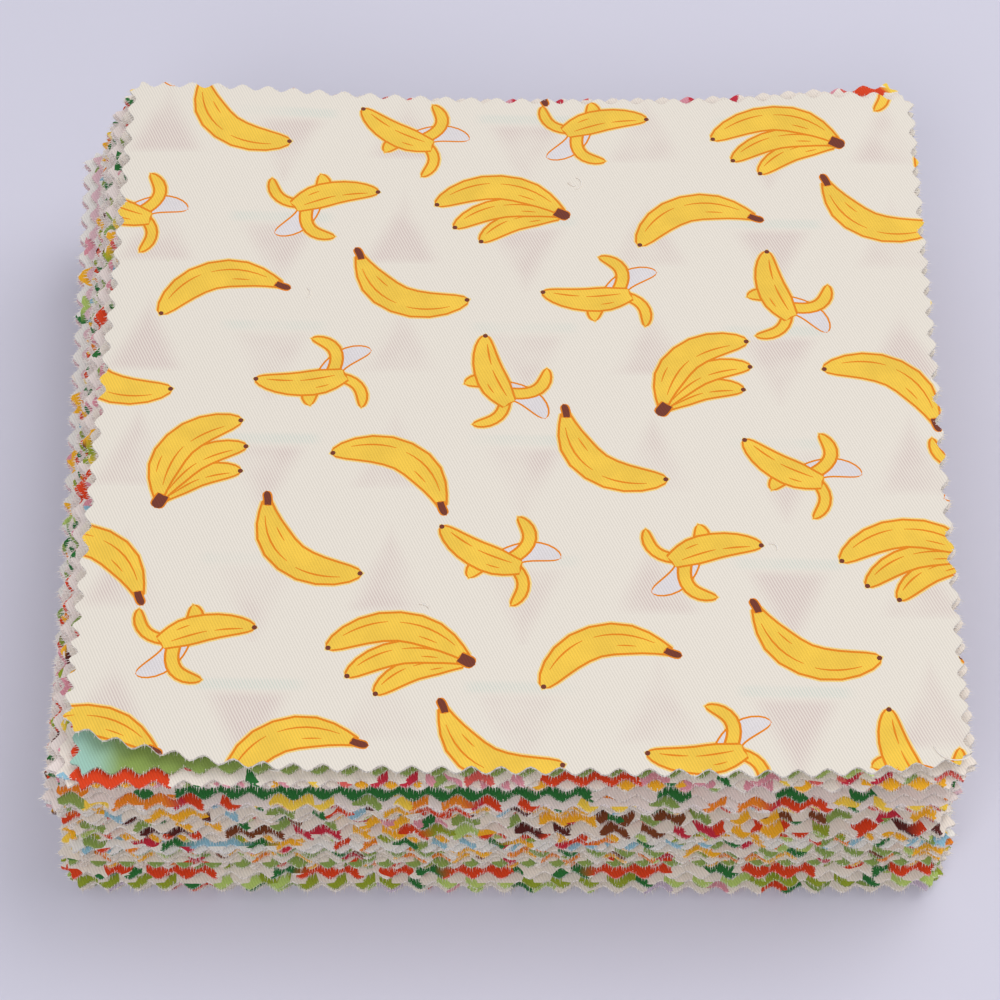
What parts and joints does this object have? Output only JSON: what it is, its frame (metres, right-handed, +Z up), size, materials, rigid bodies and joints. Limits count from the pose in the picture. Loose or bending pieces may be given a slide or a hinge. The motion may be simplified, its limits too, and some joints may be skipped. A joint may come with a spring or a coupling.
{
  "type": "fabric bundle",
  "caption": "Loose flat stack of pinked printed cotton pieces, zigzag edges all round, slightly turned and shifted over each other.",
  "frame": {"origin": "under the middle of the stack's box, on the surface that it lies on", "axes": "+Z up through the stack, +X along the front edge to the right, -Y towards the front edge"},
  "size_m": [0.1074, 0.1046, 0.0283],
  "materials": {
    "ivory_print": "ivory cotton twill with a yellow and orange fruit print",
    "leaf_print": "printed cotton twill, leaf green rim",
    "coral_print": "printed cotton twill, coral motifs",
    "rose_print": "printed cotton twill, rose motifs",
    "forest_print": "printed cotton twill, dark green motifs",
    "amber_print": "printed cotton twill, amber motifs",
    "sky_print": "printed cotton twill, light blue motifs",
    "cream_print": "cream cotton twill, small motifs",
    "maroon_print": "printed cotton twill, maroon and amber motifs",
    "olive_print": "printed cotton twill, olive leaf motifs"
  },
  "bodies": {
    "root": {"sheet_01": "cream_print", "sheet_02": "olive_print", "sheet_03": "coral_print", "sheet_04": "cream_print", "sheet_05": "leaf_print", "sheet_06": "sky_print", "sheet_07": "amber_print", "sheet_08": "rose_print", "sheet_09": "maroon_print", "sheet_10": "cream_print", "sheet_11": "sky_print", "sheet_12": "amber_print", "sheet_13": "forest_print", "sheet_14": "coral_print", "sheet_15": "leaf_print", "sheet_16": "ivory_print"}
  },
  "joints": []
}
